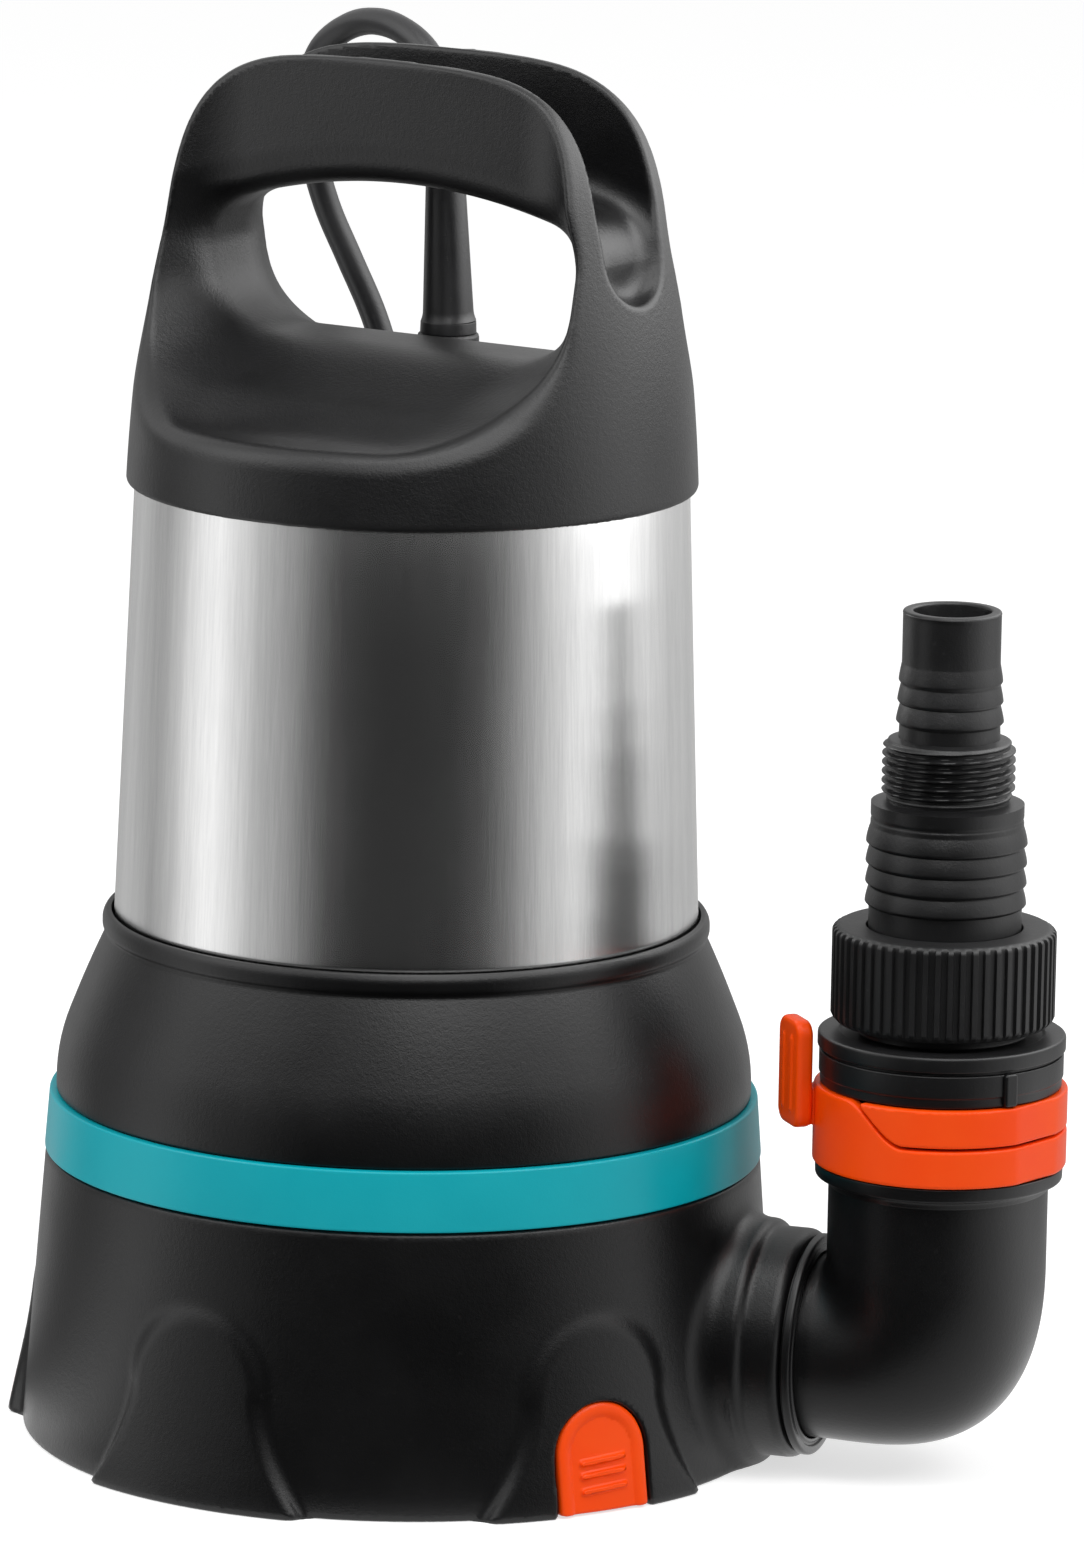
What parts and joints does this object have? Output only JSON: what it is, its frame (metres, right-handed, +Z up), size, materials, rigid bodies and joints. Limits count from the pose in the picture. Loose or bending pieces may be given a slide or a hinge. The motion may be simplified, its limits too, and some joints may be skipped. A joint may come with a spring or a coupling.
{
  "type": "submersible sump pump",
  "caption": "Portable submersible sump pump: steel-jacketed motor on a plastic base, carrying handle, swivelling outlet elbow with quick lock and stepped hose tail, cord with plug.",
  "frame": {"origin": "on the pump's vertical axis, at floor level under the base", "axes": "+Z up, +X from the pump's axis to the outlet port, +Y to the rear, where the cord leaves"},
  "size_m": [0.3179, 0.3768, 0.3545],
  "materials": {
    "black_plastic": "satin, lightly grained",
    "cap_plastic": "matte, grained",
    "orange_plastic": "satin",
    "teal_plastic": "satin",
    "jacket_steel": "brushed",
    "plain_steel": "machined",
    "zinc_steel": "zinc plated",
    "aluminium": "die cast",
    "copper": "enamelled winding",
    "rubber": "matte",
    "cord_rubber": "satin",
    "ivory_plastic": "matte"
  },
  "bodies": {
    "pump": {"base_skirt": "black_plastic", "suction_plate": "black_plastic", "plate_screws": "zinc_steel", "colour_band": "teal_plastic", "mid_housing": "black_plastic", "steel_jacket": "jacket_steel", "jacket_seal_lower": "rubber", "jacket_seal_upper": "rubber", "cap_handle": "cap_plastic", "tie_screws": "zinc_steel", "volute_casing": "black_plastic", "volute_gasket": "rubber", "volute_cover": "black_plastic", "casing_screws": "zinc_steel", "seal_seat": "rubber", "oil_chamber": "black_plastic", "lower_bearing_shield": "aluminium", "lower_bearing": "plain_steel", "stator_core": "zinc_steel", "winding_lower": "copper", "winding_upper": "copper", "thermal_switch": "black_plastic", "upper_bearing": "plain_steel", "upper_bearing_shield": "aluminium", "motor_can": "zinc_steel", "motor_lid": "black_plastic", "terminal_block": "ivory_plastic", "capacitor": "aluminium", "cable_gland": "black_plastic", "strain_relief": "cord_rubber", "cord_lead": "cord_rubber", "cord_coil": "cord_rubber", "cord_tail": "cord_rubber", "plug_body": "cord_rubber", "plug_pins": "plain_steel", "swivel_ring": "black_plastic"},
    "rotor": {"impeller": "orange_plastic", "impeller_washer": "zinc_steel", "impeller_nut": "zinc_steel", "seal_ring": "plain_steel", "shaft": "plain_steel", "rotor_core": "zinc_steel", "rotor_end_rings": "aluminium"},
    "outlet": {"elbow": "black_plastic", "elbow_o_ring": "rubber", "lock_segment": "orange_plastic", "coupling_body": "black_plastic", "coupling_o_ring": "rubber", "valve_pin": "plain_steel", "hose_tail": "black_plastic", "tail_gasket": "rubber"},
    "lock": {"lock_ring": "orange_plastic"},
    "nut": {"union_nut": "black_plastic"},
    "flap": {"valve_flap": "rubber"},
    "foot_1": {"foot_slider_1": "orange_plastic"},
    "foot_2": {"foot_slider_2": "orange_plastic"},
    "foot_3": {"foot_slider_3": "orange_plastic"}
  },
  "joints": [
    {"name": "rotor_spin", "type": "hinge", "parent": "pump", "child": "rotor", "pos_m": [0, 0, 0.1], "axis": [0, 0, 1], "continuous": true},
    {"name": "elbow_swivel", "type": "hinge", "parent": "pump", "child": "outlet", "pos_m": [0.109, 0, 0.031], "axis": [1, 0, 0], "range_deg": [-85, 85]},
    {"name": "lock_turn", "type": "hinge", "parent": "outlet", "child": "lock", "pos_m": [0.1415, 0, 0.09], "axis": [0, 0, 1], "range_deg": [-40, 0]},
    {"name": "nut_spin", "type": "hinge", "parent": "outlet", "child": "nut", "pos_m": [0.1415, 0, 0.13], "axis": [0, 0, 1], "continuous": true},
    {"name": "flap_swing", "type": "hinge", "parent": "outlet", "child": "flap", "pos_m": [0.1415, 0.0155, 0.088], "axis": [-1, 0, 0], "range_deg": [0, 60]},
    {"name": "foot_slide_1", "type": "slide", "parent": "pump", "child": "foot_1", "axis": [0, 0, -1], "range_m": [0, 0.01]},
    {"name": "foot_slide_2", "type": "slide", "parent": "pump", "child": "foot_2", "axis": [0, 0, -1], "range_m": [0, 0.01]},
    {"name": "foot_slide_3", "type": "slide", "parent": "pump", "child": "foot_3", "axis": [0, 0, -1], "range_m": [0, 0.01]}
  ]
}
